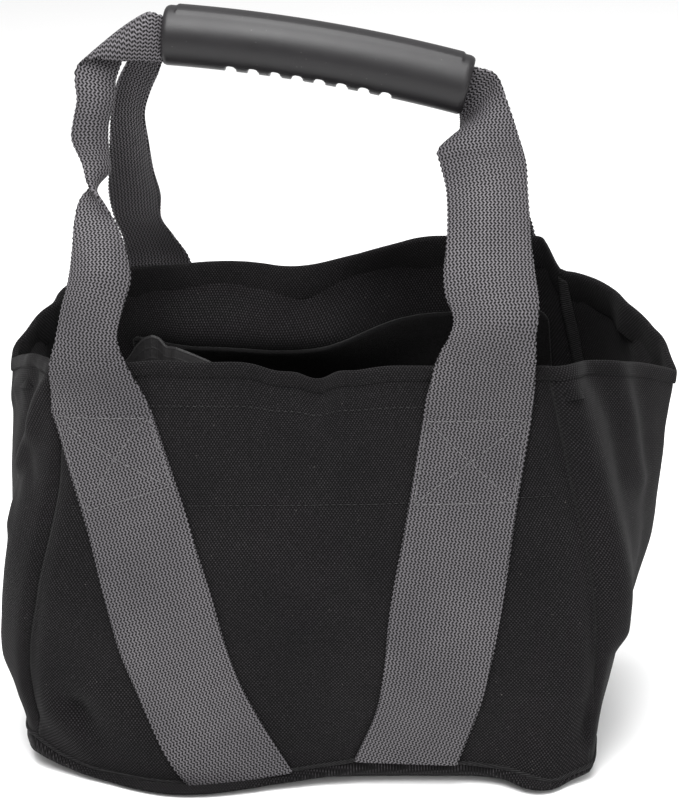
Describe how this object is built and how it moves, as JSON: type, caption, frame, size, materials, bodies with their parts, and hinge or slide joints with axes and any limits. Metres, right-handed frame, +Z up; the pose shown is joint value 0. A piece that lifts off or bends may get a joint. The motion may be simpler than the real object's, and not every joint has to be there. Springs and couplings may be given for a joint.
{
  "type": "sandbag",
  "caption": "Canvas ballast bag with gusseted ends, an open mouth, sewn webbing straps, a moulded carrying grip and a lift-out sand liner.",
  "frame": {"origin": "centre of the bag's overall outline, on the floor it stands on", "axes": "+Z up, -Y the front face, +X to the right along the grip"},
  "size_m": [0.344, 0.1604, 0.3831],
  "materials": {
    "canvas": "heavy plain-weave canvas, matt",
    "facing_tape": "turned-in canvas rim",
    "seam_binding": "woven binding tape",
    "hook_and_loop": "brushed loop and hook pile",
    "webbing": "heavy ribbed nylon webbing",
    "thread": "bonded nylon thread",
    "grip_rubber": "satin moulded rubber",
    "liner_cloth": "close-woven coated nylon",
    "sand": "fine dry sand"
  },
  "bodies": {
    "bag": {"front_panel": "canvas", "back_panel": "canvas", "left_gusset": "canvas", "right_gusset": "canvas", "bottom_panel": "canvas", "front_mouth_facing": "facing_tape", "back_mouth_facing": "facing_tape", "left_gusset_facing": "facing_tape", "right_gusset_facing": "facing_tape", "bottom_seam_binding": "seam_binding", "corner_seam_tapes": "seam_binding", "front_loop_tape": "hook_and_loop", "back_hook_tape": "hook_and_loop", "front_left_strap": "webbing", "front_right_strap": "webbing", "rear_left_strap": "webbing", "rear_right_strap": "webbing", "front_left_leg": "webbing", "front_right_leg": "webbing", "rear_left_leg": "webbing", "rear_right_leg": "webbing", "box_stitches": "thread", "tape_stitches": "thread"},
    "handle": {"front_strap_core": "webbing", "rear_strap_core": "webbing"},
    "grip": {"grip_sleeve": "grip_rubber"},
    "liner": {"liner_bag": "liner_cloth", "sand_fill": "sand", "liner_flap": "liner_cloth", "liner_pull_tab": "webbing", "liner_ear": "liner_cloth"}
  },
  "joints": [
    {"name": "handle_drop", "type": "slide", "parent": "bag", "child": "handle", "axis": [0, 0, -1], "range_m": [0, 0.1], "deforming": ["front_left_leg", "front_right_leg", "rear_left_leg", "rear_right_leg"]},
    {"name": "grip_roll", "type": "hinge", "parent": "handle", "child": "grip", "pos_m": [-0.006, 0, 0.357], "axis": [0.9848, 0, -0.1736], "range_deg": [-20, 20]},
    {"name": "liner_lift", "type": "slide", "parent": "bag", "child": "liner", "axis": [0, 0, 1], "range_m": [0, 0.06]}
  ]
}
